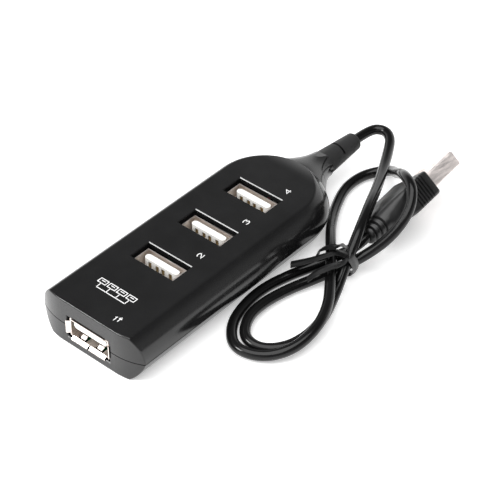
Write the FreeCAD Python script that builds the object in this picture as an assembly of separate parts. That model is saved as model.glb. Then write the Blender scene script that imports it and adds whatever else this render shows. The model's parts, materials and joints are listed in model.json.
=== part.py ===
import FreeCAD, Part
import math
import os

os.makedirs("parts", exist_ok=True)
V = FreeCAD.Vector

# USB hub, four ports, with a short tied cable and a plug.
# Millimetres. Port 1's end faces -Y, the cable leaves at +Y, +Z is up.
# The origin is under the middle of the housing's own length, on the surface it rests on.

# ---- housing ----
hub_len = 91.2          # port 1's end face to the cable end of the neck
hub_w = 34.6            # at the seam, the widest place
hub_h = 14.0
wall = 1.6
seam_z = hub_h / 2 - 0.65   # parting line above the base
neck_len = hub_w / 2 + 7.1  # centre of the rounded cable end to the end of the neck
side_r = hub_h - seam_z + 1.8   # bulge of the top cover's flank
top_round = 1.2         # soft crease round the flat top
skirt_r = 12.0          # bulge of the bottom cover's flank
skirt_lean = 15.0       # degrees that the bottom cover's flank leans in at the seam
base_round = 1.0
end_flat = hub_w / 2 - 8.3  # half width of the flat part of the end face
end_bow_r = 17.0        # radius that the end face bows back with
end_round = 0.4         # rounding of the end face's rim
neck_r = 3.95           # neck at the cable end
# rings of the neck: distance before its end, half width, half height as a share of hub_h, drop below the cable
neck_rings = ((14.2, 13.9, 0.464, 0.2), (11.2, 10.9, 0.45, 0.2), (8.7, 8.5, 0.421, 0.15),
              (6.2, 6.5, 0.371, 0.1), (3.2, 4.7, 0.321, 0.0))
ramp_len = 15.2         # the flat top slopes down to the neck over this length
ramp_r = 22.0           # and bends into the slope with this radius
ramp_slope = 14.5       # degrees
seam_climb = (9.2, 5.8)     # the parting line climbs between these distances before the neck's end
seam_neck_z = hub_h / 2 + 3.6
groove = 0.24           # width of the shadow line along the seam
groove_deep = 0.3

# ---- ports ----
port_count = 4
port_w, port_t = 13.1, 5.7      # outside of a socket's metal shell
port_sheet = 0.3
gap_near, gap_far, gap_side = 0.1, 1.0, 0.65    # shell to window: -Y side, +Y side, ends
window_chamfer = 0.2
first_top_port = 26.54          # end face to the middle of port 2's window
port_pitch = 17.62
port_sink = 1.0                 # shell's rim below the top face
end_lips = (0.65, 0.875)        # how far port 1's flared lips reach out: long sides, ends
lip_len = 0.8
lip_corner = 0.85               # gap at the corners between the lips
lip_split = 0.6
end_port_proud = 0.3            # port 1's lips in front of the end face
end_port_len = 14.3
tongue_w, tongue_t = 11.1, 1.84
tongue_gap = 0.7                # tongue to the shell behind it
tongue_sink, end_tongue_sink = 0.4, 1.17    # tongue's tip below the rim, and behind port 1's lips
socket_base = 2.2
spring_x = 2.85                 # two springs in the wall that faces the contacts
spring_cut = (2.6, 1.0, 4.4)    # their cut-outs: width, and start and end below the rim
spring_w, spring_rise = 1.6, 0.65
contact_w, contact_t = 1.0, 0.25
contact_slot = 0.45             # depth of a contact's slot in the tongue
slot_fit = 0.08
contact_short = 0.75            # slots end this far below the tongue's tip
contact_x = (-3.5, -1.0, 1.0, 3.5)
leg_w, leg_out = 1.2, 0.2       # a shell's solder legs, and how far they stand out of the board

# ---- board ----
board_top = wall + 1.5          # the joints under the board stay clear of the base
board_t = 1.0
board_margin = seam_z - 0.45    # board's edge to the widest part of the housing
board_start, board_end_gap = 2.4, 19.2      # behind the end face, and before the neck's end
board_corner = 5.0
board_fit = 0.15
post_d = 4.4
pin_d = 1.9
pin_fit = 0.1
pin_top = 5.6
pin_room = 1.0
post_x = 9.0
rest_w, rest_len = 3.0, 2.0
root = 0.3              # how far posts and rests reach into the wall that carries them

chip = (10.0, 3.9, 1.5)
chip_lead_rows = 8
chip_pitch = 1.27
chip_lead_out = 1.05
crystal = (11.0, 4.4, 3.4)
capacitor_d, capacitor_h = 4.0, 5.4
capacitor_at = ((-8.8, 18.6), (8.8, 18.6))
resistor = (1.6, 0.8, 0.45)
resistor_at = ((-4.5, 18.6), (-1.5, 18.6), (1.5, 18.6), (4.5, 18.6))
chip_cap = (2.0, 1.25, 0.9)
chip_cap_at = ((-5.2, 31.6), (5.2, 31.6), (-5.2, 39.4), (5.2, 39.4))

# ---- cable ----
cable_d = 2.9
cable_z = hub_h / 2 + 0.1   # height at which it leaves the neck
boot_len = 14.0
boot_r0, boot_r1 = 3.7, 2.55
shank_r = 3.0
shank_fit = 0.1
shank_len = 7.8                 # inside the neck
flange_r, flange_len, flange_in = 3.6, 1.5, 5.2
boot_slot = 0.42                # the flexing slots' place, as a share of the boot's length
slot_w, slot_deep, slot_reach = 0.7, 0.8, 0.35
jacket_in = 13.6                # the jacket's end inside the housing
wire_d = 1.0
wire_off = 0.6
fold_start = 7.3                # straight cable behind the boot
wire_pads = ((-3.9, "red", -1, 1), (-1.3, "white", -1, -1), (1.3, "green", 1, -1), (3.9, "black", 1, 1))
pad_in = 22.0                   # wires' pads before the neck's end

# ---- plug ----
# X from the side of the housing, Y from the end of the boot, as for the cable's route
plug_front = (10.25, -7.85, 9.3)    # middle of the overmould's front face
plug_rear = (10.6, -30.05, 6.6)     # where the cable enters it
plug_roll = 48.0
grip_w, grip_t = 15.6, 7.3
grip_round = 0.8
grip_len = 16.4
grip_rear_w, grip_rear_t = 12.0, 6.0
grip_mid = -8.5                     # behind here it narrows
relief_r0, relief_r1 = 2.9, 2.3
relief_rings, relief_pitch, relief_gap, relief_deep = 3, 1.8, 0.6, 0.35
rib_count, rib_pitch, rib_gap, rib_deep, rib_start = 6, 1.05, 0.5, 0.35, 2.1
metal_w, metal_t, metal_len = 12.0, 4.5, 12.0
metal_sheet = 0.3
metal_in = 3.0                      # length of the metal shell inside the grip
plug_lead = 3.3                     # straight cable behind the plug
metal_fit = 0.02
hole_size, hole_x, hole_y = 2.5, 4.6, 2.9
plug_tongue_t, plug_tongue_short = 1.9, 0.6

# ---- tie ----
tie_w, tie_t = 2.4, 0.5
tie_x = (2.9, 14.7)                 # inside of the ring, from the side of the housing
tie_z = (1.0, 9.9)
tie_y = -39.6                       # from the end of the boot
tie_corner = 3.2

half = hub_len / 2
straight_len = hub_len - neck_len
port_len = hub_h - port_sink - board_top
window_w = port_w + 2 * gap_side
window_t = port_t + gap_near + gap_far
shell_shift = (gap_near - gap_far) / 2
end_port_z = board_top + port_t / 2
board_w = hub_w - 2 * board_margin
cable_r = cable_d / 2
windows = [first_top_port + port_pitch * i for i in range(port_count - 1)]


def at(y):
    """Y of a place measured from port 1's end face."""
    return y - half


def before(y):
    """Y of a place measured back from the end of the neck."""
    return half - y


def coil(x, y, z):
    """A point of the coil, from the side of the housing and the end of the boot."""
    return V(hub_w / 2 + x, half + boot_len + y, z)


def box(x, y, z, w, d, h):
    """A box by its middle in X and Y and its lowest Z."""
    return Part.makeBox(w, d, h, V(x - w / 2, y - d / 2, z))


def rod(r, start, end):
    return Part.makeCylinder(r, (end - start).Length, start, end - start)


def prism(points, vector):
    return Part.Face(Part.makePolygon(points + [points[0]])).extrude(vector)


def save(name, shape):
    shape = shape.removeSplitter()
    shape.exportStep(f"parts/{name}.step")
    solids = shape.Solids
    print(f"{name}: {len(solids)} solid(s), {sum(s.Volume for s in solids):.1f} mm3, valid {shape.isValid()}")


def fuse(shapes):
    return shapes[0].multiFuse(shapes[1:]) if len(shapes) > 1 else shapes[0]


# ---------------------------------------------------------------- housing
def arc(cx, cz, r, a0, a1, y):
    """An arc in the XZ plane from angle a0 to a1, in degrees."""
    def p(a):
        return V(cx + r * math.cos(math.radians(a)), y, cz + r * math.sin(math.radians(a)))
    return Part.Arc(p(a0), p((a0 + a1) / 2), p(a1)).toShape(), p(a0), p(a1)


def flank(inset, y):
    """Edges of the right half of the cross-section, from the middle of the top to the middle of the base."""
    cx = hub_w / 2 - side_r
    r, top, rc = side_r - inset, hub_h - inset, max(top_round - inset, 0.3)
    fx = cx + math.sqrt((r - rc) ** 2 - (top - rc - seam_z) ** 2)
    a = math.degrees(math.atan2(top - rc - seam_z, fx - cx))
    crease, c0, c1 = arc(fx, top - rc, rc, 90, a, y)
    side, s0, s1 = arc(cx, seam_z, r, a, 0, y)
    lean = math.radians(skirt_lean)
    kx = hub_w / 2 - skirt_r * math.cos(lean)
    kz = seam_z + skirt_r * math.sin(lean)
    k, low, rb = skirt_r - inset, inset, max(base_round - inset, 0.3)
    bx = kx + math.sqrt((k - rb) ** 2 - (kz - low - rb) ** 2)
    b = math.degrees(math.atan2(low + rb - kz, bx - kx))
    lean_in = -math.degrees(math.asin((kz - seam_z) / k))
    skirt, k0, k1 = arc(kx, kz, k, lean_in, b, y)
    base, b0, b1 = arc(bx, low + rb, rb, b, -90, y)
    edges = [Part.makeLine(V(0, y, top), c0), crease, side]
    if s1.distanceToPoint(k0) > 1e-4:
        edges.append(Part.makeLine(s1, k0))
    return edges + [skirt, base, Part.makeLine(b1, V(0, y, low))]


def main_body(inset):
    """The straight part and the rounded cable end, before the neck is added."""
    y0, yc = at(0), at(straight_len)
    right = flank(inset, y0)
    closed = Part.Wire(right + [Part.makeLine(V(0, y0, inset), V(0, y0, hub_h - inset))])
    one = Part.Face(closed).extrude(V(0, straight_len, 0))
    other = one.mirror(V(0, 0, 0), V(1, 0, 0))
    turned = Part.Face(closed).translated(V(0, straight_len, 0)).revolve(V(0, yc, 0), V(0, 0, 1), 180)
    r = end_bow_r - inset
    reach = hub_w / 2 + 1 - end_flat
    y1 = y0 + inset
    tip = y1 + r - math.sqrt(r * r - reach * reach)
    mid = y1 + r - math.sqrt(r * r - reach * reach / 4)
    far = end_flat + reach
    plan = [
        Part.makeLine(V(-end_flat, y1, 0), V(end_flat, y1, 0)),
        Part.Arc(V(end_flat, y1, 0), V(end_flat + reach / 2, mid, 0), V(far, tip, 0)).toShape(),
        Part.makeLine(V(far, tip, 0), V(far, half, 0)),
        Part.makeLine(V(far, half, 0), V(-far, half, 0)),
        Part.makeLine(V(-far, half, 0), V(-far, tip, 0)),
        Part.Arc(V(-far, tip, 0), V(-end_flat - reach / 2, mid, 0), V(-end_flat, y1, 0)).toShape(),
    ]
    outline = Part.Face(Part.Wire(plan)).extrude(V(0, 0, hub_h))
    return fuse([one, other, turned]).removeSplitter().common(outline)


def neck(inset):
    """The bottle neck, which flares into the rounded end."""
    rings = []
    for back, w, share, drop in neck_rings + ((0.0, neck_r, neck_r / hub_h, 0.0),):
        high = share * hub_h
        ring = Part.Ellipse(V(0, 0, 0), max(w, high) - inset, min(w, high) - inset).toShape()
        if high > w:
            ring.rotate(V(0, 0, 0), V(0, 0, 1), 90)
        ring.rotate(V(0, 0, 0), V(1, 0, 0), 90)
        ring.translate(V(0, before(back), cable_z - drop))
        rings.append(Part.Wire([ring]))
    return Part.makeLoft(rings, True, False)


def ramp(inset):
    """Everything above the curve and the slope that run from the flat top to the neck."""
    y0, z = before(ramp_len), hub_h - inset
    turn = math.radians(ramp_slope)

    def bend(angle):
        return V(-hub_w, y0 + ramp_r * math.sin(angle), z - ramp_r * (1 - math.cos(angle)))
    low = bend(turn)
    end = V(-hub_w, half + 1, low.z - math.tan(turn) * (half + 1 - low.y))
    far, near = V(-hub_w, half + 1, z + 5), V(-hub_w, y0, z + 5)
    edges = [Part.Arc(bend(0), bend(turn / 2), low).toShape()]
    edges += [Part.makeLine(p, q) for p, q in ((low, end), (end, far), (far, near), (near, bend(0)))]
    return Part.Face(Part.Wire(edges)).extrude(V(2 * hub_w, 0, 0))


def outer_body(inset=0.0):
    return fuse([main_body(inset), neck(inset)]).removeSplitter().cut(ramp(inset))


def window(w, t, x, y, z, axis):
    """A rectangular opening with a chamfered rim; axis points out of the face."""
    rim = window_chamfer
    hole = Part.makeBox(w, t, 4 * wall, V(-w / 2, -t / 2, -3 * wall))
    wires = [Part.makePolygon([V(sx * (w / 2 + e), sy * (t / 2 + e), h) for sx, sy in
                               ((-1, -1), (1, -1), (1, 1), (-1, 1), (-1, -1))])
             for e, h in ((0, -rim), (2 * rim, rim))]
    cutter = hole.fuse(Part.makeLoft(wires, True, True))
    cutter.Placement = FreeCAD.Placement(V(x, y, z), FreeCAD.Rotation(V(0, 0, 1), V(*axis)))
    return cutter


outer = outer_body()
end_faces = [f for f in outer.Faces if f.BoundBox.YMax < at(5.5)]
shared = [e for f in end_faces for e in f.Edges]
rim_edges = [e for e in outer.Edges if sum(e.isSame(other) for other in shared) == 1]
outer = outer.makeFillet(end_round, rim_edges)

path = [V(0, -half - 5, seam_z), V(0, before(seam_climb[0]), seam_z), V(0, before(seam_climb[1]), seam_neck_z),
        V(0, half + 5, seam_neck_z)]


def seam_slab(low, high):
    """The band between the parting surface moved by low and by high."""
    points = [V(-hub_w, p.y, p.z + low) for p in path] + [V(-hub_w, p.y, p.z + high) for p in reversed(path)]
    return prism(points, V(2 * hub_w, 0, 0))


outer = outer.cut(seam_slab(-groove / 2, groove / 2).cut(outer_body(groove_deep)))

saddle_len = shank_len + 1.4
saddle = box(0, half - saddle_len / 2, cable_z, 2 * (shank_r + shank_fit), saddle_len, hub_h)
upper = seam_slab(0, 20).fuse(saddle)
shell = outer.cut(main_body(wall))
bore = rod(shank_r + shank_fit, V(0, before(jacket_in), cable_z), V(0, half + 1, cable_z))
flange_room = rod(flange_r + shank_fit, V(0, before(flange_in + shank_fit), cable_z),
                  V(0, before(flange_in - flange_len - shank_fit), cable_z))
shell = shell.cut(bore).cut(flange_room)
for y in windows:
    shell = shell.cut(window(window_w, window_t, 0, at(y), hub_h, (0, 0, 1)))
shell = shell.cut(window(window_w, window_t, 0, at(0), end_port_z, (0, -1, 0)))

posts = [(sx * post_x, at((windows[i] + windows[i + 1]) / 2)) for i in range(port_count - 2) for sx in (-1, 1)]
top_cover = shell.common(upper)
bosses = [Part.makeCylinder(post_d / 2, hub_h - wall + root - board_top, V(x, y, board_top)) for x, y in posts]
top_cover = top_cover.multiFuse(bosses)
for x, y in posts:
    top_cover = top_cover.cut(Part.makeCylinder(pin_d / 2 + pin_fit, pin_top + pin_room - board_top, V(x, y, board_top)))
bottom_cover = shell.cut(upper)
board_base = board_top - board_t
pads = [Part.makeCylinder(post_d / 2, board_base - wall + root, V(x, y, wall - root)) for x, y in posts]
pins = [Part.makeCylinder(pin_d / 2, pin_top - wall, V(x, y, wall)) for x, y in posts]
rest_at = ((-post_x, at(10.0)), (post_x, at(10.0)), (0, before(board_end_gap + 5.5)))
rests = [box(x, y, wall - root, rest_w, rest_len, board_base - wall + root) for x, y in rest_at]
bottom_cover = bottom_cover.multiFuse(pads + pins + rests)
save("top_cover", top_cover)
save("bottom_cover", bottom_cover)


# ---------------------------------------------------------------- sockets
def lips(z0, z1, reach_out):
    """Four flared lips round a socket's mouth. The one facing the contacts is split in two."""
    out = []
    for side in range(4):
        reach, width = ((port_t / 2, port_w), (port_w / 2, port_t))[side % 2]
        tip = reach + reach_out[side % 2]
        section = [V(reach - port_sheet, 0, z0), V(reach, 0, z0), V(tip, 0, z1), V(tip - port_sheet, 0, z1)]
        width -= 2 * lip_corner
        lip = prism(section, V(0, width, 0)).translated(V(0, -width / 2, 0))
        if side == 2:
            lip = lip.cut(Part.makeBox(20, lip_split, 20, V(0, -lip_split / 2, z0)))
        out.append(lip.rotated(V(0, 0, 0), V(0, 0, 1), 90 * (side + 1)))
    return out


def spring(x, rim):
    """A spring finger, rooted below its cut-out and bowed into the socket."""
    outside = -port_t / 2
    root_z, bow_z, tip_z = rim - spring_cut[2] - port_sheet, rim - 2.2, rim - spring_cut[1] - 0.3
    profile = ((0, root_z), (spring_rise, bow_z), (0.1, tip_z), (0.1 + port_sheet, tip_z),
               (spring_rise + port_sheet, bow_z), (port_sheet, root_z))
    return prism([V(x - spring_w / 2, outside + y, z) for y, z in profile], V(spring_w, 0, 0))


def socket(length, tongue_short, legs, reach_out=None):
    """Shell, insulator and contacts of one socket, mouth up at +Z, base at 0, tongue near +Y."""
    rim = length - lip_len if reach_out else length
    inner_w, inner_t = port_w - 2 * port_sheet, port_t - 2 * port_sheet
    metal = box(0, 0, 0, port_w, port_t, rim).cut(box(0, 0, -1, inner_w, inner_t, length + 2))
    for x in (-spring_x, spring_x):
        tall = spring_cut[2] - spring_cut[1]
        metal = metal.cut(box(x, -port_t / 2, length - spring_cut[2], spring_cut[0], 1, tall))
        metal = metal.fuse(spring(x, length))
    metal = metal.multiFuse((lips(rim, length, reach_out) if reach_out else []) + legs)
    tongue_y = inner_t / 2 - tongue_gap - tongue_t / 2
    tip = length - tongue_short
    tongue = box(0, tongue_y, 0, tongue_w, tongue_t, tip)
    tongue = tongue.makeFillet(tongue_t / 2 - 0.05, [e for e in tongue.Edges if e.BoundBox.ZLength > tip / 2])
    base = box(0, 0, 0, inner_w - 2 * slot_fit, inner_t - 2 * slot_fit, socket_base)
    insulator = base.fuse(tongue)
    face = tongue_y - tongue_t / 2
    contacts = []
    for x in contact_x:
        slot = box(x, face, socket_base, contact_w + 2 * slot_fit, 2 * contact_slot, tip - contact_short - socket_base)
        insulator = insulator.cut(slot)
        strip_y = face + contact_slot - contact_t / 2
        contacts.append(box(x, strip_y, 0, contact_w, contact_t, tip - contact_short - slot_fit))
    insulator = insulator.cut(fuse(contacts))
    return metal, insulator, Part.makeCompound(contacts)


def place(shape, origin, turn):
    shape = shape.copy()
    shape.Placement = FreeCAD.Placement(V(*origin), turn)
    return shape


upright = FreeCAD.Rotation()
facing_end = FreeCAD.Rotation(V(1, 0, 0), 90)
leg_x, leg_len = port_w / 2 - port_sheet / 2, board_t + leg_out
leg_down = [box(sx * leg_x, 0, -leg_len, port_sheet, leg_w, leg_len + 0.2) for sx in (-1, 1)]
leg_side = [box(sx * leg_x, -port_t / 2 - leg_len / 2 + 0.1, end_port_len / 2, port_sheet, leg_len + 0.2, leg_w)
            for sx in (-1, 1)]
sockets = [(1, (0, at(end_port_len - end_port_proud), end_port_z), facing_end,
            (end_port_len, end_tongue_sink, leg_side, end_lips))]
sockets += [(i + 2, (0, at(y + shell_shift), board_top), upright, (port_len, tongue_sink, leg_down))
            for i, y in enumerate(windows)]
leg_shapes = []
for number, origin, turn, sizes in sockets:
    metal, insulator, contacts = socket(*sizes)
    save(f"port_{number}_shell", place(metal, origin, turn))
    save(f"port_{number}_insulator", place(insulator, origin, turn))
    save(f"port_{number}_contacts", place(contacts, origin, turn))
    leg_shapes += [place(leg, origin, turn) for leg in sizes[2]]

# ---------------------------------------------------------------- board
board_len = hub_len - board_start - board_end_gap
board = box(0, at(board_start + board_len / 2), board_base, board_w, board_len, board_t)
rear = [e for e in board.Edges if e.BoundBox.ZLength > board_t / 2 and e.BoundBox.YMin > 0]
board = board.makeFillet(board_corner, rear)
for x, y in posts:
    board = board.cut(Part.makeCylinder(pin_d / 2 + pin_fit, board_t * 3, V(x, y, board_base - board_t)))
solder = []
for leg in leg_shapes:
    b = leg.BoundBox
    slot = Part.makeBox(b.XLength + 2 * board_fit, b.YLength + 2 * board_fit, board_t * 3,
                        V(b.XMin - board_fit, b.YMin - board_fit, board_base - board_t))
    board = board.cut(slot)
    x, y = b.Center.x, b.Center.y
    bead = Part.makeCone(1.0, 0.6, 0.4, V(x, y, board_base), V(0, 0, -1))
    solder.append(bead.cut(leg))
save("circuit_board", board)
save("solder_joints", Part.makeCompound(solder))

chip_y = at((windows[0] + windows[1]) / 2)
body = box(0, chip_y, board_top + 0.1, *chip)
body = body.makeChamfer(0.25, [e for e in body.Edges if e.BoundBox.ZMin > board_top + 1])
leads = []
for i in range(chip_lead_rows):
    x = (i - (chip_lead_rows - 1) / 2) * chip_pitch
    for sy in (-1, 1):
        y0, y1 = chip_y + sy * chip[1] / 2, chip_y + sy * (chip[1] / 2 + chip_lead_out)
        ym = (y0 + y1) / 2
        knee = prism([V(x - 0.2, y0, board_top + 0.9), V(x - 0.2, ym + sy * 0.1, board_top + 0.9),
                      V(x - 0.2, ym + sy * 0.1, board_top + 0.15), V(x - 0.2, y1, board_top + 0.15),
                      V(x - 0.2, y1, board_top), V(x - 0.2, ym - sy * 0.1, board_top),
                      V(x - 0.2, ym - sy * 0.1, board_top + 0.75), V(x - 0.2, y0, board_top + 0.75)], V(0.4, 0, 0))
        leads.append(knee)
save("hub_chip", body)
save("hub_chip_leads", Part.makeCompound(leads))
crystal_y = at((windows[1] + windows[2]) / 2)
can = box(0, crystal_y, board_top, *crystal)
can = can.makeFillet(crystal[1] / 2 - 0.1, [e for e in can.Edges if e.BoundBox.ZLength > 3])
save("crystal_can", can)
save("electrolytic_capacitors", Part.makeCompound(
    [Part.makeCylinder(capacitor_d / 2, capacitor_h, V(x, at(y), board_top)) for x, y in capacitor_at]))
save("chip_resistors", Part.makeCompound([box(x, at(y), board_top, *resistor) for x, y in resistor_at]))
save("chip_capacitors", Part.makeCompound([box(x, at(y), board_top, *chip_cap) for x, y in chip_cap_at]))


# ---------------------------------------------------------------- cable
def tube(points, radius, name=None):
    """A round cord: straight runs joined by tangent arcs."""
    edges, last, length, bends = [], points[0], 0.0, []
    for previous, corner, after in zip(points, points[1:], points[2:]):
        back, on = previous - corner, after - corner
        cut = 0.45 * min(back.Length, on.Length)
        back.normalize()
        on.normalize()
        start, end = corner + back * cut, corner + on * cut
        turn = math.pi - back.getAngle(on)
        bend = cut / math.tan(turn / 2)
        centre_way = back + on
        centre_way.normalize()
        sag = bend / math.cos(turn / 2) - bend
        edges.append(Part.LineSegment(last, start).toShape())
        edges.append(Part.Arc(start, corner + centre_way * sag, end).toShape())
        length += (start - last).Length + bend * turn
        bends.append(round(bend, 1))
        last = end
    edges.append(Part.LineSegment(last, points[-1]).toShape())
    length += (points[-1] - last).Length
    line = Part.Wire(edges)
    ring = Part.Wire([Part.makeCircle(radius, points[0], points[1] - points[0])])
    solid = line.makePipeShell([ring], True, False)
    if name:
        print(f"{name}: length {length:.1f}, bend radii {bends}")
        print(f"{name}: volume {solid.Volume:.0f}, section x length {math.pi * radius ** 2 * length:.0f}")
    return solid


boot = Part.makeCone(boot_r0, boot_r1, boot_len, V(0, half, cable_z), V(0, 1, 0))
boot = boot.makeFillet(0.5, [e for e in boot.Edges if e.BoundBox.YMin > half + boot_len - 0.1])
boot = boot.fuse(rod(shank_r, V(0, before(shank_len), cable_z), V(0, half, cable_z)))
boot = boot.fuse(rod(flange_r, V(0, before(flange_in), cable_z), V(0, before(flange_in - flange_len), cable_z)))
slot_y = half + boot_len * boot_slot
slot_r = boot_r0 + (boot_r1 - boot_r0) * boot_slot
slot_ring = rod(slot_r + 1, V(0, slot_y, cable_z), V(0, slot_y + slot_w, cable_z)).cut(
    rod(slot_r - slot_deep, V(0, slot_y - 1, cable_z), V(0, slot_y + slot_w + 1, cable_z)))
for side in (1, -1):
    low = cable_z + (slot_reach * slot_r if side > 0 else -slot_reach * slot_r - hub_h)
    boot = boot.cut(slot_ring.common(box(0, slot_y, low, hub_w, 4, hub_h)))
boot = boot.cut(rod(cable_r + 0.02, V(0, before(shank_len + 1), cable_z), V(0, half + boot_len + 1, cable_z)))
save("cable_boot", boot)
save("cable_inner_end", rod(cable_r, V(0, before(jacket_in), cable_z), V(0, half + boot_len, cable_z)))
for x, colour, sx, sz in wire_pads:
    ox, oz = sx * wire_off, cable_z + sz * wire_off
    low = board_top + wire_d / 2
    points = [V(ox, before(jacket_in), oz), V(ox, before(jacket_in + 1.8), oz),
              V((ox + x) / 2, before(jacket_in + 4.0), (oz + low) / 2 + 0.4),
              V(x, before(jacket_in + 6.6), low + 0.1), V(x, before(pad_in + 1), low + 0.02)]
    save(f"wire_{colour}", tube(points, wire_d / 2))

# The cable's route, from the boot through the fold, over the upper loop, through the tie
# to the inner lower loop, back through the tie, over the plug, round the upper loop, through
# the tie to the outer lower loop and through the tie once more into the plug. X from the side
# of the housing, Y from the end of the boot.
route = [
    (-13.9, 9.6, 7.2), (-10.5, 7.9, 7.0), (-7.5, 2.9, 6.5), (-3.3, -5.1, 6.6), (1.3, -13.6, 8.5),
    (5.6, -22.3, 10.8), (9.1, -30.3, 10.6), (11.2, -36.2, 8.7), (13.1, -42.3, 5.4), (16.2, -50.5, 2.3),
    (18.7, -58.3, 1.5), (19.5, -65.6, 1.5), (18.1, -72.0, 1.5), (13.8, -76.6, 1.5), (8.2, -76.4, 1.9),
    (4.4, -70.6, 2.2), (3.6, -63.8, 2.0), (4.7, -55.8, 1.7), (7.2, -47.8, 1.6), (10.3, -40.6, 2.5),
    (14.1, -34.4, 5.2), (17.6, -28.6, 9.8), (18.6, -22.7, 15.2), (15.7, -18.1, 19.0),
    (10.5, -15.0, 18.5), (4.7, -8.8, 12.2), (0.2, -3.3, 6.6), (-4.0, 0.7, 3.1), (-7.8, -0.8, 1.7),
    (-10.2, -5.4, 1.5), (-10.3, -12.6, 1.5), (-6.7, -21.2, 2.0), (-2.1, -28.8, 3.4), (3.3, -36.0, 5.9),
    (8.6, -42.3, 6.8), (13.9, -49.2, 5.8), (18.6, -55.8, 4.8), (21.4, -63.9, 4.2), (21.0, -72.4, 2.9),
    (16.3, -78.8, 1.8), (8.5, -80.7, 1.6), (2.8, -75.1, 1.7), (0.3, -67.5, 1.6), (-0.4, -59.4, 1.5),
    (1.3, -51.0, 1.5), (4.6, -43.2, 2.1), (8.7, -37.0, 4.4),
]
cord = [V(0, half + boot_len, cable_z), V(0, half + boot_len + fold_start, cable_z)]
front, tail = coil(*plug_front), coil(*plug_rear)
axis = front - tail
plug_len = axis.Length
axis.normalize()
cord += [coil(*point) for point in route] + [tail - axis * plug_lead, tail]
save("cable", tube(cord, cable_r, "cable"))

# ---------------------------------------------------------------- plug
level = axis.cross(V(0, 0, 1))
level.normalize()
rise = level.cross(axis)
lean = math.radians(plug_roll)
wide = level * math.cos(lean) + rise * math.sin(lean)
thin = axis.cross(wide)
matrix = FreeCAD.Matrix(axis.x, wide.x, thin.x, front.x, axis.y, wide.y, thin.y, front.y,
                        axis.z, wide.z, thin.z, front.z, 0, 0, 0, 1)


def in_plug(shape):
    """From the plug's own frame, tip along +X and width along Y, into the hub's."""
    return place(shape, front, FreeCAD.Placement(matrix).Rotation)


def slab(x0, x1, w, t, z=0.0):
    return Part.makeBox(x1 - x0, w, t, V(x0, -w / 2, z - t / 2))


def rounded(x, w, t, r):
    """A rounded rectangle across the plug."""
    sheet = Part.makeBox(1, w, t, V(x, -w / 2, -t / 2))
    sheet = sheet.makeFillet(r, [e for e in sheet.Edges if e.BoundBox.XLength > 0.5])
    return min(sheet.Faces, key=lambda f: f.CenterOfMass.x).OuterWire


grip = fuse([
    Part.makeLoft([rounded(0, grip_w, grip_t, grip_round), rounded(grip_mid, grip_w, grip_t, grip_round)], True, True),
    Part.makeLoft([rounded(grip_mid, grip_w, grip_t, grip_round),
                   rounded(-grip_len, grip_rear_w, grip_rear_t, grip_round)], True, True),
])
relief = Part.makeCone(relief_r1, relief_r0, plug_len - grip_len + 1, V(-plug_len, 0, 0), V(1, 0, 0))
for i in range(relief_rings):
    x = -plug_len + 2 * relief_gap + i * relief_pitch
    ring = Part.makeCylinder(grip_t, relief_gap, V(x, 0, 0), V(1, 0, 0)).cut(
        Part.makeCylinder(relief_r1 - relief_deep, relief_gap, V(x, 0, 0), V(1, 0, 0)))
    relief = relief.cut(ring)
grip = grip.fuse(relief)
for i in range(rib_count):
    x = -rib_start - rib_gap - i * rib_pitch
    for sy in (-1, 1):
        grip = grip.cut(Part.makeBox(rib_gap, 2 * rib_deep, grip_t + 2,
                                     V(x, sy * grip_w / 2 - rib_deep, -grip_t / 2 - 1)))
grip = grip.cut(slab(-metal_in, 1, metal_w + 2 * metal_fit, metal_t + 2 * metal_fit))
metal = slab(-metal_in, metal_len, metal_w, metal_t)
metal = metal.makeFillet(0.6, [e for e in metal.Edges if e.BoundBox.XLength > 5])
hollow = slab(-metal_in - 1, metal_len + 1, metal_w - 2 * metal_sheet, metal_t - 2 * metal_sheet)
metal = metal.cut(hollow)
for sy in (-1, 1):
    metal = metal.cut(Part.makeBox(hole_size, hole_size, metal_t + 2,
                                   V(hole_x, sy * hole_y - hole_size / 2, -metal_t / 2 - 1)))
low = metal_fit + metal_sheet - metal_t / 2
plate = slab(-metal_in, metal_len - plug_tongue_short, metal_w - 2 * metal_sheet - 4 * metal_fit, plug_tongue_t,
             low + plug_tongue_t / 2)
strips = [Part.makeBox(7.4, contact_w, 0.2, V(metal_len - 9.4, x - contact_w / 2, low + plug_tongue_t))
          for x in contact_x]
save("plug_grip", in_plug(grip))
save("plug_shell", in_plug(metal))
save("plug_insulator", in_plug(plate))
save("plug_contacts", in_plug(Part.makeCompound(strips)))

# ---------------------------------------------------------------- tie
def ring_block(grow, long):
    solid = Part.makeBox(tie_x[1] - tie_x[0] + 2 * grow, long, tie_z[1] - tie_z[0] + 2 * grow,
                         coil(tie_x[0] - grow, tie_y - long / 2, tie_z[0] - grow))
    return solid.makeFillet(tie_corner + grow, [e for e in solid.Edges if e.BoundBox.YLength > long / 2])


def strip(a, b):
    """A flat length of the tie between two points, lying level across its width."""
    along = b - a
    across = along.cross(V(0, 0, 1))
    across.normalize()
    up = across.cross(along)
    up.normalize()
    corners = [a - across * (tie_w / 2), b - across * (tie_w / 2), b + across * (tie_w / 2), a + across * (tie_w / 2)]
    return prism(corners, up * tie_t)


tie = ring_block(tie_t, tie_w).cut(ring_block(0, tie_w + 2))
tails = [[(7.3, tie_y, tie_z[1]), (4.3, tie_y - 5.4, 7.6), (0.9, tie_y - 9.6, 4.2)],
         [(11.3, tie_y, tie_z[1]), (11.5, tie_y - 6.2, 9.0), (8.1, tie_y - 12.2, 4.6)]]
for line in tails:
    spots = [coil(*spot) for spot in line]
    tie = tie.multiFuse([strip(a, b) for a, b in zip(spots, spots[1:])])
save("twist_tie", tie)
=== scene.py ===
import json
import math

import bmesh
import bpy
from mathutils import Matrix, Vector


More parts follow.
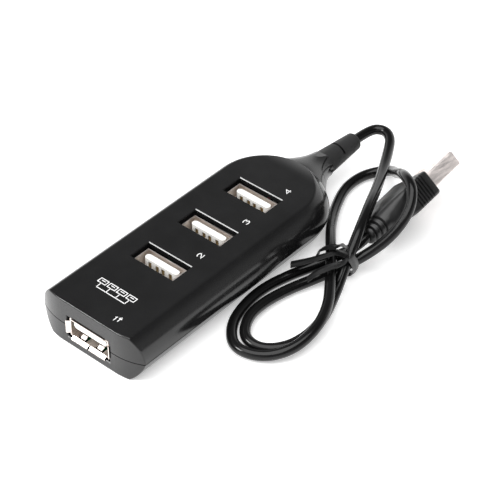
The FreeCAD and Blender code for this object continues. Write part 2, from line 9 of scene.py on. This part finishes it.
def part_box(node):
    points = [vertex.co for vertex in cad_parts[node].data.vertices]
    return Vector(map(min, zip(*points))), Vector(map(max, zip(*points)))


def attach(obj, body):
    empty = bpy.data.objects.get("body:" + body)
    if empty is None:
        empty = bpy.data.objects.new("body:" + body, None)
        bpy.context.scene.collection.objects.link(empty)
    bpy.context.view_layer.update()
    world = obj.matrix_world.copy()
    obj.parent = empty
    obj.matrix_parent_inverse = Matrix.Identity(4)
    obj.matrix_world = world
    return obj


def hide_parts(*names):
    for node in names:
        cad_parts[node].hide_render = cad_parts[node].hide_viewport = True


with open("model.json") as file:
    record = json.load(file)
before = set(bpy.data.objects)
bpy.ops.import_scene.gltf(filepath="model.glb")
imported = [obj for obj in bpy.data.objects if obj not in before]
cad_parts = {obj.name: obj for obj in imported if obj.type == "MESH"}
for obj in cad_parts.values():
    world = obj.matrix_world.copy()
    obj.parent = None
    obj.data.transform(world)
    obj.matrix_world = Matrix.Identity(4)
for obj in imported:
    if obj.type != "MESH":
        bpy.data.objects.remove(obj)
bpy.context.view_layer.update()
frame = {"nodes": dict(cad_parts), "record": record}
MM = 0.001

# ---------------------------------------------------------------- places, in millimetres
# On the housing, Y is measured from port 1's end face. On the coil and the plug, X is measured from the
# housing's side and Y from the boot's end.
END_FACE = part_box("bottom_cover")[0].y / MM
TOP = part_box("top_cover")[1].z / MM
CABLE_RADIUS = 1.45
CABLE_Z = 7.1
FOLD_START = 7.3
HALF_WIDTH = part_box("top_cover")[1].x / MM
BOOT_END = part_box("cable_boot")[1].y / MM
PLUG_REAR = (10.6, -30.05, 6.6)
PLUG_FRONT = (10.25, -7.85, 9.3)
PLUG_ROLL = 48
ROUTE = [
    (-13.9, 9.6, 7.2), (-10.5, 7.9, 7.0), (-7.5, 2.9, 6.5), (-3.3, -5.1, 6.6), (1.3, -13.6, 8.5),
    (5.6, -22.3, 10.8), (9.1, -30.3, 10.6), (11.2, -36.2, 8.7), (13.1, -42.3, 5.4), (16.2, -50.5, 2.3),
    (18.7, -58.3, 1.5), (19.5, -65.6, 1.5), (18.1, -72.0, 1.5), (13.8, -76.6, 1.5), (8.2, -76.4, 1.9),
    (4.4, -70.6, 2.2), (3.6, -63.8, 2.0), (4.7, -55.8, 1.7), (7.2, -47.8, 1.6), (10.3, -40.6, 2.5),
    (14.1, -34.4, 5.2), (17.6, -28.6, 9.8), (18.6, -22.7, 15.2), (15.7, -18.1, 19.0),
    (10.5, -15.0, 18.5), (4.7, -8.8, 12.2), (0.2, -3.3, 6.6), (-4.0, 0.7, 3.1), (-7.8, -0.8, 1.7),
    (-10.2, -5.4, 1.5), (-10.3, -12.6, 1.5), (-6.7, -21.2, 2.0), (-2.1, -28.8, 3.4), (3.3, -36.0, 5.9),
    (8.6, -42.3, 6.8), (13.9, -49.2, 5.8), (18.6, -55.8, 4.8), (21.4, -63.9, 4.2), (21.0, -72.4, 2.9),
    (16.3, -78.8, 1.8), (8.5, -80.7, 1.6), (2.8, -75.1, 1.7), (0.3, -67.5, 1.6), (-0.4, -59.4, 1.5),
    (1.3, -51.0, 1.5), (4.6, -43.2, 2.1), (8.7, -37.0, 4.4), (10.65, -33.3, 6.2),
    PLUG_REAR,
]


def coil(point):
    """A point of the coil or the plug, in millimetres, as a point of the frame in metres."""
    x, y, z = point
    return Vector((x + HALF_WIDTH, y + BOOT_END, z)) * MM


# ---------------------------------------------------------------- camera
CAMERA_AT = Vector((239.4, -266.6, 310.9)) * MM
CAMERA_TURN = math.radians(40.33)
CAMERA_DROP = math.radians(40.45)
CAMERA_ROLL = math.radians(0.588)
LENS = 130.5


def add_camera():
    level = math.cos(CAMERA_DROP)
    ahead = Vector((-math.sin(CAMERA_TURN) * level, math.cos(CAMERA_TURN) * level, -math.sin(CAMERA_DROP)))
    right = ahead.cross(Vector((0, 0, 1))).normalized()
    up = right.cross(ahead)
    turn = Matrix((math.cos(CAMERA_ROLL) * right + math.sin(CAMERA_ROLL) * up,
                   math.cos(CAMERA_ROLL) * up - math.sin(CAMERA_ROLL) * right, -ahead)).transposed()
    data = bpy.data.cameras.new("camera")
    data.lens = LENS
    data.sensor_width = 36
    data.clip_start, data.clip_end = 0.01, 10
    camera = bpy.data.objects.new("camera", data)
    camera.matrix_world = Matrix.Translation(CAMERA_AT) @ turn.to_4x4()
    bpy.context.scene.collection.objects.link(camera)
    bpy.context.scene.camera = camera


# ---------------------------------------------------------------- materials
class Nodes:
    """A Principled material and short ways to add nodes to it."""

    def __init__(self, name, **sockets):
        self.material = bpy.data.materials.new(name)
        self.material.use_nodes = True
        self.tree = self.material.node_tree
        self.shader = self.tree.nodes["Principled BSDF"]
        for socket, value in sockets.items():
            self.shader.inputs[socket.replace("_", " ")].default_value = value
        self.place = self.add("ShaderNodeTexCoord").outputs["Object"]

    def add(self, kind, inputs=(), **settings):
        node = self.tree.nodes.new(kind)
        for key, value in settings.items():
            setattr(node, key, value)
        for key, value in dict(inputs).items():
            if isinstance(value, bpy.types.NodeSocket):
                self.tree.links.new(value, node.inputs[key])
            else:
                node.inputs[key].default_value = value
        return node

    def noise(self, scale, detail=4.0, roughness=0.5, at=None):
        node = self.add("ShaderNodeTexNoise", {"Vector": at or self.place, "Scale": scale, "Detail": detail,
                                               "Roughness": roughness})
        return node.outputs["Fac"]

    def spread(self, value, low, high):
        """The middle of a noise's range, as a value from low to high."""
        node = self.add("ShaderNodeMapRange", {"Value": value, "From Min": 0.3, "From Max": 0.7,
                                               "To Min": low, "To Max": high})
        return node.outputs["Result"]

    def colours(self, value, *stops):
        node = self.add("ShaderNodeValToRGB", {"Fac": value})
        ramp = node.color_ramp
        while len(ramp.elements) < len(stops):
            ramp.elements.new(0.5)
        for element, (position, colour) in zip(ramp.elements, stops):
            element.position = position
            element.color = (*colour, 1)
        return node.outputs["Color"]

    def stretched(self, x, y, z):
        node = self.add("ShaderNodeMapping", {"Vector": self.place, "Scale": (x, y, z)})
        return node.outputs["Vector"]

    def bump(self, height, strength, distance):
        node = self.add("ShaderNodeBump", {"Height": height, "Strength": strength, "Distance": distance})
        self.link(node.outputs["Normal"], "Normal")

    def link(self, output, socket):
        self.tree.links.new(output, self.shader.inputs[socket])


def grey(value):
    return (value, value, value * 1.03)


def moulded(name, dark, light, roughness, grain, depth, **sockets):
    """Moulded plastic or rubber: mottled colour, uneven gloss and a fine grain."""
    m = Nodes(name, **sockets)
    m.link(m.colours(m.noise(60), (0.35, dark), (0.65, light)), "Base Color")
    fine = m.noise(grain, 6, 0.6)
    m.link(m.spread(m.noise(220, 3), roughness * 0.85, roughness * 1.2), "Roughness")
    m.bump(fine, 0.35, depth)
    return m.material


def sheet_metal(name, tint, roughness, turn):
    """Plated sheet with faint rolling lines along one direction and small tarnish clouds."""
    m = Nodes(name, Metallic=1.0)
    lines = m.noise(1.0, 3, 0.6, at=m.stretched(*turn))
    clouds = m.noise(300, 4)
    m.link(m.colours(clouds, (0.3, tuple(0.86 * c for c in tint)), (0.7, tint)), "Base Color")
    m.link(m.spread(lines, roughness * 0.75, roughness * 1.35), "Roughness")
    m.bump(lines, 0.25, 0.00001)
    return m.material


def board_mask():
    """Green solder mask over raised tracks."""
    m = Nodes("board_green", Roughness=0.35)
    cells = m.add("ShaderNodeTexVoronoi", {"Vector": m.place, "Scale": 420}, feature="DISTANCE_TO_EDGE")
    tracks = cells.outputs["Distance"]
    m.link(m.colours(tracks, (0.04, (0.02, 0.16, 0.06)), (0.09, (0.01, 0.09, 0.035))), "Base Color")
    m.bump(tracks, 0.2, 0.00003)
    return m.material


def make_materials():
    return {
        "housing_black": moulded("housing_black", grey(0.007), grey(0.010), 0.16, 2600, 0.000004,
                                 Specular_IOR_Level=0.5),
        "port_steel": sheet_metal("port_steel", (0.92, 0.84, 0.79), 0.34, (200, 200, 3000)),
        "port_white": moulded("port_white", (0.80, 0.80, 0.77), (0.88, 0.88, 0.85), 0.35, 1800, 0.000006),
        "contact_gold": sheet_metal("contact_gold", (0.42, 0.31, 0.16), 0.35, (3000, 3000, 200)),
        "board_green": board_mask(),
        "chip_black": moulded("chip_black", grey(0.02), grey(0.03), 0.6, 3000, 0.00001),
        "part_metal": sheet_metal("part_metal", (0.72, 0.72, 0.74), 0.32, (900, 900, 900)),
        "capacitor_can": sheet_metal("capacitor_can", (0.80, 0.80, 0.82), 0.3, (300, 300, 4000)),
        "chip_ceramic": moulded("chip_ceramic", (0.42, 0.31, 0.2), (0.55, 0.42, 0.29), 0.55, 3000, 0.00001),
        "resistor_black": moulded("resistor_black", grey(0.02), grey(0.035), 0.3, 2000, 0.000005),
        "boot_black": moulded("boot_black", grey(0.009), grey(0.013), 0.55, 3200, 0.000012),
        "cable_black": moulded("cable_black", grey(0.003), grey(0.005), 0.17, 1500, 0.000003,
                               Specular_IOR_Level=0.32),
        "wire_red": moulded("wire_red", (0.5, 0.02, 0.02), (0.62, 0.04, 0.03), 0.4, 1500, 0.000005),
        "wire_white": moulded("wire_white", (0.75, 0.75, 0.73), (0.85, 0.85, 0.82), 0.4, 1500, 0.000005),
        "wire_green": moulded("wire_green", (0.02, 0.28, 0.07), (0.03, 0.38, 0.1), 0.4, 1500, 0.000005),
        "grip_black": moulded("grip_black", grey(0.007), grey(0.011), 0.34, 2600, 0.00001),
        "plug_steel": sheet_metal("plug_steel", (0.98, 0.91, 0.88), 0.5, (200, 200, 3000)),
        "print_white": moulded("print_white", (0.78, 0.78, 0.78), (0.86, 0.86, 0.86), 0.5, 2400, 0.000004),
        "tie_black": moulded("tie_black", grey(0.005), grey(0.009), 0.3, 1800, 0.000008),
    }


def finish_nodes(materials):
    """Gives each design node the material of its slot."""
    slots = {part["node"]: part["material_slot"] for part in frame["record"]["subparts"]}
    for name, node in frame["nodes"].items():
        node.data.materials.clear()
        node.data.materials.append(materials[slots[name]])


# ---------------------------------------------------------------- cable
def add_cable(materials):
    curve = bpy.data.curves.new("cable_cord", "CURVE")
    curve.dimensions = "3D"
    spline = curve.splines.new("NURBS")
    exit_at = Vector((0, BOOT_END, CABLE_Z)) * MM
    points = [exit_at, exit_at + Vector((0, FOLD_START, 0)) * MM] + [coil(at) for at in ROUTE]
    spline.points.add(len(points) - 1)
    for point, at in zip(spline.points, points):
        point.co = (*at, 1)
    spline.order_u = 3
    spline.use_endpoint_u = True
    spline.resolution_u = 16
    curve.bevel_depth = CABLE_RADIUS * MM
    curve.bevel_resolution = 8
    curve.use_fill_caps = True
    curve.materials.append(materials["cable_black"])
    cord = bpy.data.objects.new("cable_cord", curve)
    bpy.context.scene.collection.objects.link(cord)
    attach(cord, "root")
    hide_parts("cable")


# ---------------------------------------------------------------- pieces in mesh code
SHARP_FROM = math.radians(38)
SMOOTH_STEPS = 8


def skin(name, rings, material):
    """A mesh through rings of points, in millimetres, capped at both ends."""
    count = len(rings[0])
    verts = [Vector(p) * MM for ring in rings for p in ring]
    faces = []
    for i in range(len(rings) - 1):
        for k in range(count):
            m = (k + 1) % count
            faces.append((i * count + k, i * count + m, (i + 1) * count + m, (i + 1) * count + k))
    faces.append(tuple(reversed(range(count))))
    faces.append(tuple((len(rings) - 1) * count + k for k in range(count)))
    mesh = bpy.data.meshes.new(name)
    mesh.from_pydata(verts, [], faces)
    work = bmesh.new()
    work.from_mesh(mesh)
    bmesh.ops.recalc_face_normals(work, faces=work.faces)
    work.to_mesh(mesh)
    work.free()
    mesh.polygons.foreach_set("use_smooth", [True] * len(mesh.polygons))
    mesh.set_sharp_from_angle(angle=SHARP_FROM)
    mesh.materials.append(material)
    piece = bpy.data.objects.new(name, mesh)
    bpy.context.scene.collection.objects.link(piece)
    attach(piece, "root")
    return piece


def smooth(points):
    """Points along a curve through the given ones."""
    points = [Vector(p) for p in points]
    ends = [2 * points[0] - points[1]] + points + [2 * points[-1] - points[-2]]
    out = []
    for a, b, c, d in zip(ends, ends[1:], ends[2:], ends[3:]):
        for i in range(SMOOTH_STEPS):
            t = i / SMOOTH_STEPS
            out.append(0.5 * (2 * b + (c - a) * t + (2 * a - 5 * b + 4 * c - d) * t ** 2
                              + (3 * b - a - 3 * c + d) * t ** 3))
    return out + [points[-1]]


# ---------------------------------------------------------------- plug
# Half sizes of the moulded grip, and places along it, which run back from its front face.
GRIP_WIDE, GRIP_THIN, GRIP_CORNER = 7.8, 3.65, 0.9
TAPER_WIDE, TAPER_THIN, TAPER_CORNER = 3.0, 0.35, 1.7
TAPER_START, TAPER_STEP, TAPER_RINGS = -8.5, 0.79, 11
RELIEF_START, RELIEF_END = -16.4, -22.3
RELIEF_FRONT, RELIEF_TAPER, RELIEF_EXTRA = 3.3, 1.0, 1.2
CORNER_STEPS = 8
SMALLEST_CORNER = 0.2
# Grooves are steps back from their first edge, with how deep they are there.
FRONT_ROUND = ((0.0, -0.35), (-0.12, -0.1), (-0.4, 0.0))
RIB_COUNT, RIB_START, RIB_PITCH = 6, -2.1, 1.05
RIB_GROOVE = ((0.06, 0.0), (0.0, -0.12), (-0.12, -0.42), (-0.38, -0.42), (-0.5, -0.12), (-0.56, 0.0))
RING_COUNT, RING_START, RING_PITCH = 3, -17.6, 1.6
RING_GROOVE = ((0.1, 0.0), (-0.05, -0.2), (-0.15, -0.65), (-0.5, -0.65), (-0.6, -0.2), (-0.75, 0.0))


def grip_size(x):
    """Half width, half thickness and corner radius of the overmould at a place behind its front face."""
    if x > TAPER_START:
        wide, thin, corner = GRIP_WIDE, GRIP_THIN, GRIP_CORNER
    elif x > RELIEF_START:
        share = (TAPER_START - x) / (TAPER_START - RELIEF_START)
        ease = share * share * (3 - 2 * share)
        wide, thin = GRIP_WIDE - TAPER_WIDE * ease, GRIP_THIN - TAPER_THIN * ease
        corner = GRIP_CORNER + TAPER_CORNER * ease
    else:
        share = (RELIEF_START - x) / (RELIEF_START - RELIEF_END)
        thin = RELIEF_FRONT - RELIEF_TAPER * share
        wide = thin + RELIEF_EXTRA * (1 - share)
        corner = thin - 0.05
    return wide, thin, corner


def grip_ring(x, wide, thin, corner):
    """A rectangle with round corners across the grip."""
    out = []
    for turn, sy, sz in ((0, 1, 1), (90, -1, 1), (180, -1, -1), (270, 1, -1)):
        for step in range(CORNER_STEPS):
            angle = math.radians(turn + step * 90 / (CORNER_STEPS - 1))
            out.append((x, sy * (wide - corner) + corner * math.cos(angle),
                        sz * (thin - corner) + corner * math.sin(angle)))
    return out


def grooves(count, start, pitch, groove):
    return [(start - i * pitch + step, dip) for i in range(count) for step, dip in groove]


def add_grip(materials):
    """The overmould: ribs cut into its narrow sides, a taper, and a relief with rings cut all round."""
    front, rear = coil(PLUG_FRONT) / MM, coil(PLUG_REAR) / MM
    along = (front - rear).normalized()
    level = along.cross(Vector((0, 0, 1))).normalized()
    rise = level.cross(along)
    lean = math.radians(PLUG_ROLL)
    wide_way = level * math.cos(lean) + rise * math.sin(lean)
    thin_way = along.cross(wide_way)
    stations = list(FRONT_ROUND)
    stations += grooves(RIB_COUNT, RIB_START, RIB_PITCH, RIB_GROOVE)
    stations += [(TAPER_START - i * TAPER_STEP, 0.0) for i in range(TAPER_RINGS)]
    stations += grooves(RING_COUNT, RING_START, RING_PITCH, RING_GROOVE)
    stations += [(RELIEF_END + 0.25, 0.0), (RELIEF_END, -0.25)]
    rings = []
    for x, dip in stations:
        wide, thin, corner = grip_size(x)
        all_round = x > -1 or x < RELIEF_START
        thin += dip if all_round else 0
        ring = grip_ring(x, wide + dip, thin, max(SMALLEST_CORNER, min(corner, thin - 0.03)))
        rings.append([front + along * p[0] + wide_way * p[1] + thin_way * p[2] for p in ring])
    grip = skin("grip_body", rings, materials["grip_black"])
    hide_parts("plug_grip")


# ---------------------------------------------------------------- tie
# The tie's middle line, as for the coil, and the way its width points at each place.
TIE = [
    ((1.6, -50.2, 5.0), (-0.58, 0.81, 0.1)), ((3.6, -48.8, 6.0), (-0.58, 0.81, 0)),
    ((5.9, -47.2, 7.2), (-0.58, 0.81, -0.1)), ((8.7, -45.1, 8.8), (-0.58, 0.81, -0.1)),
    ((10.8, -43.3, 9.9), (-0.5, 0.9, 0)), ((12.9, -42.6, 10.0), (-0.3, 0.95, 0)),
    ((14.4, -41.4, 8.6), (0, 1, 0.1)), ((14.6, -39.7, 5.0), (0, 1, 0.2)), ((13.6, -39.2, 1.9), (0, 1, 0.2)),
    ((10.5, -39.6, 0.5), (0, 1, 0)), ((6.0, -40.2, 0.5), (0, 1, 0)), ((3.5, -40.9, 1.6), (-0.2, 1, 0)),
    ((3.6, -41.6, 3.8), (-0.2, 1, 0)), ((5.0, -42.2, 6.8), (-0.2, 1, 0)), ((7.7, -42.1, 9.2), (-0.2, 1, 0)),
    ((10.2, -42.6, 10.9), (-0.3, 0.9, -0.2)), ((11.9, -42.8, 12.6), (-0.4, 0.8, -0.5)),
    ((14.3, -43.1, 13.1), (-0.45, 0.75, -0.5)), ((15.1, -43.3, 11.8), (-0.45, 0.75, -0.4)),
    ((15.2, -44.8, 10.9), (-0.5, 0.75, -0.3)), ((14.7, -46.9, 10.5), (-0.6, 0.75, -0.1)),
    ((12.9, -48.3, 9.4), (-0.65, 0.76, 0)), ((10.5, -50.0, 7.6), (-0.65, 0.76, 0)),
    ((8.6, -52.0, 5.2), (-0.65, 0.76, 0)),
]
TIE_HALF = 1.2
# The ribbon's section: thin wings with thicker rims beside the wire's round middle.
TIE_PROFILE = [(-1, -0.08), (-1, 0.08), (-0.8, 0.16), (-0.45, 0.12), (-0.2, 0.3), (0.2, 0.3),
               (0.45, 0.12), (0.8, 0.16), (1, 0.08), (1, -0.08),
               (0.5, -0.12), (0.2, -0.28), (-0.2, -0.28), (-0.5, -0.12)]


def add_tie(materials):
    """The ribbon from its upper tail, round the strands and through its curl to the lower tail."""
    line = [coil(p) / MM for p in smooth([p for p, w in TIE])]
    widths = smooth([w for p, w in TIE])
    rings = []
    for i, (point, width) in enumerate(zip(line, widths)):
        along = (line[min(i + 1, len(line) - 1)] - line[max(i - 1, 0)]).normalized()
        across = (width - along * width.dot(along)).normalized()
        up = across.cross(along)
        rings.append([point + across * u * TIE_HALF + up * v for u, v in TIE_PROFILE])
    tie = skin("tie_ribbon", rings, materials["tie_black"])
    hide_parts("twist_tie")


# ---------------------------------------------------------------- printing
# Signs are strokes in a box one unit high, X to the right and Y up.
DIGITS = {
    1: [[(0.12, 0.78), (0.36, 1), (0.36, 0)]],
    2: [[(0, 0.76), (0.08, 0.93), (0.3, 1), (0.54, 0.93), (0.62, 0.74), (0.5, 0.5), (0, 0), (0.66, 0)]],
    3: [[(0, 0.86), (0.12, 0.97), (0.3, 1), (0.52, 0.94), (0.6, 0.76), (0.5, 0.59), (0.28, 0.53)],
        [(0.28, 0.53), (0.54, 0.45), (0.64, 0.25), (0.52, 0.07), (0.3, 0), (0.1, 0.03), (0, 0.15)]],
    4: [[(0.5, 0), (0.5, 1), (0, 0.3), (0.7, 0.3)]],
}
# Digit 1 reads from the end face, the others from the flank.
DIGIT_AT = {1: (5.7, 2.9), 2: (6.82, 33.85), 3: (6.85, 51.5), 4: (6.85, 68.1)}
DIGIT_HEIGHT, DIGIT_WIDTH = 1.5, 2.35
STROKE = 0.25
ARROW_AT = (7.3, 3.2)
ARROW_SHAFT, ARROW_TIP, ARROW_BARB = 1.5, 1.65, (0.4, 1.05)
PORT_SIGN = (2.5, 1.5)
TONGUE_RISE = 0.15
PORT_SIGN_X = (-5.4, -2.2, 1.0, 4.2)
PORT_SIGN_Y, SIGN_BASE_Y = 11.5, 9.0
PRINT_RISE, PRINT_SUNK = 0.03, 0.02


def add_stroke(name, points, material):
    """A printed line on the top face, with mitred corners."""
    points = [Vector(p) for p in points]
    rings = []
    for i, point in enumerate(points):
        back = (point - points[i - 1]).normalized() if i else (points[1] - point).normalized()
        on = (points[i + 1] - point).normalized() if i + 1 < len(points) else back
        mean = (back + on).normalized()
        side = Vector((-mean.y, mean.x)) * STROKE / 2 / max(0.5, mean.dot(back))
        a, b = point - side, point + side
        low, high = TOP - PRINT_SUNK, TOP + PRINT_RISE
        rings.append([(p.x, p.y + END_FACE, z) for p, z in ((a, low), (b, low), (b, high), (a, high))])
    skin(name, rings, material)


def add_printing(materials):
    """The port numbers, an arrow for port 1, and a sign of four joined ports."""
    white = materials["print_white"]
    for number, strokes in DIGITS.items():
        x, y = DIGIT_AT[number]
        for i, stroke in enumerate(strokes):
            if number == 1:
                line = [(x + u * DIGIT_HEIGHT, y + v * DIGIT_HEIGHT) for u, v in stroke]
            else:
                line = [(x - v * DIGIT_HEIGHT, y + u * DIGIT_WIDTH) for u, v in stroke]
            add_stroke(f"print_{number}_{i}", line, white)
    x, y = ARROW_AT
    out, up = ARROW_BARB
    add_stroke("print_arrow_shaft", [(x, y), (x, y + ARROW_SHAFT)], white)
    add_stroke("print_arrow_head", [(x - out, y + up), (x, y + ARROW_TIP), (x + out, y + up)], white)
    w, h = PORT_SIGN
    for i, x in enumerate(PORT_SIGN_X):
        y = PORT_SIGN_Y
        left, right, low, high = x - w / 2, x + w / 2, y - h / 2, y + h / 2
        outline = [(x, low), (right, low), (right, high), (left, high), (left, low), (x, low)]
        tongue = [(x - w / 4, y + TONGUE_RISE), (x + w / 4, y + TONGUE_RISE)]
        add_stroke(f"print_port_{i}", outline, white)
        add_stroke(f"print_port_{i}_tongue", tongue, white)
        add_stroke(f"print_port_{i}_stem", [(x, low), (x, SIGN_BASE_Y)], white)
    base = [(PORT_SIGN_X[0], SIGN_BASE_Y), (PORT_SIGN_X[-1], SIGN_BASE_Y)]
    add_stroke("print_stem_base", base, white)


# ---------------------------------------------------------------- floor and lights
FLOOR_HALF = 3.0
FLOOR_GLOW = 0.4    # lightens the shadows


def add_floor():
    mesh = bpy.data.meshes.new("floor")
    corners = [(x * FLOOR_HALF, y * FLOOR_HALF, 0) for x, y in ((-1, -1), (1, -1), (1, 1), (-1, 1))]
    mesh.from_pydata(corners, [], [(0, 1, 2, 3)])
    floor = bpy.data.objects.new("floor", mesh)
    bpy.context.scene.collection.objects.link(floor)
    m = Nodes("floor_white", Roughness=0.6, Emission_Color=(1.0, 1.0, 1.0, 1.0),
              Emission_Strength=FLOOR_GLOW)
    m.link(m.colours(m.noise(4), (0.4, (0.86, 0.86, 0.86)), (0.6, (0.88, 0.88, 0.88))), "Base Color")
    mesh.materials.append(m.material)


SWEEP_LEVEL = 1.25
SKY_LEVEL = 0.16
SHADE_SIDE = 0.35
# The world's brightness along Z and, as a factor, along X: places in the ramp and levels there.
WORLD_UP = ((0.30, SWEEP_LEVEL), (0.62, SKY_LEVEL))
WORLD_ACROSS = ((0.0, 1.0), (0.6, SHADE_SIDE))
OVERHEAD_AT, OVERHEAD_TARGET = (0.1, -0.25, 1.1), (0.02, 0.0, 0)
OVERHEAD_SIZE, OVERHEAD_POWER = (1.3, 1.3), 17
FRONT_AT, FRONT_TARGET = (-0.62, -0.85, 0.75), (0, 0, 0)
FRONT_SIZE, FRONT_POWER = (0.45, 0.3), 9


def add_light(name, at, target, size, power):
    data = bpy.data.lights.new(name, "AREA")
    data.shape = "RECTANGLE"
    data.size, data.size_y = size
    data.energy = power
    light = bpy.data.objects.new(name, data)
    light.location = at
    light.rotation_euler = (Vector(target) - Vector(at)).to_track_quat("-Z", "Y").to_euler()
    bpy.context.scene.collection.objects.link(light)


def add_lights():
    """A white sweep up to the horizon that fades towards +X, dim air above it, and two soft boxes."""
    world = bpy.data.worlds.new("studio")
    world.use_nodes = True
    tree = world.node_tree
    direction = tree.nodes.new("ShaderNodeTexCoord")
    split = tree.nodes.new("ShaderNodeSeparateXYZ")
    tree.links.new(direction.outputs["Generated"], split.inputs[0])
    mix = tree.nodes.new("ShaderNodeMix")
    mix.data_type, mix.blend_type = "RGBA", "MULTIPLY"
    mix.inputs["Factor"].default_value = 1
    for axis, socket, stops in (("Z", "A", WORLD_UP), ("X", "B", WORLD_ACROSS)):
        ramp = tree.nodes.new("ShaderNodeValToRGB")
        for element, (position, level) in zip(ramp.color_ramp.elements, stops):
            element.position = position
            element.color = (level, level, level, 1)
        tree.links.new(split.outputs[axis], ramp.inputs["Fac"])
        target = next(i for i in mix.inputs if i.name == socket and i.type == "RGBA")
        tree.links.new(ramp.outputs["Color"], target)
    colour = next(o for o in mix.outputs if o.type == "RGBA")
    tree.links.new(colour, tree.nodes["Background"].inputs["Color"])
    scene = bpy.context.scene
    scene.world = world
    scene.view_settings.view_transform = "Standard"
    add_light("overhead", OVERHEAD_AT, OVERHEAD_TARGET, OVERHEAD_SIZE, OVERHEAD_POWER)
    add_light("front", FRONT_AT, FRONT_TARGET, FRONT_SIZE, FRONT_POWER)


materials = make_materials()
add_camera()
finish_nodes(materials)
add_grip(materials)
add_tie(materials)
add_cable(materials)
add_printing(materials)
add_floor()
add_lights()
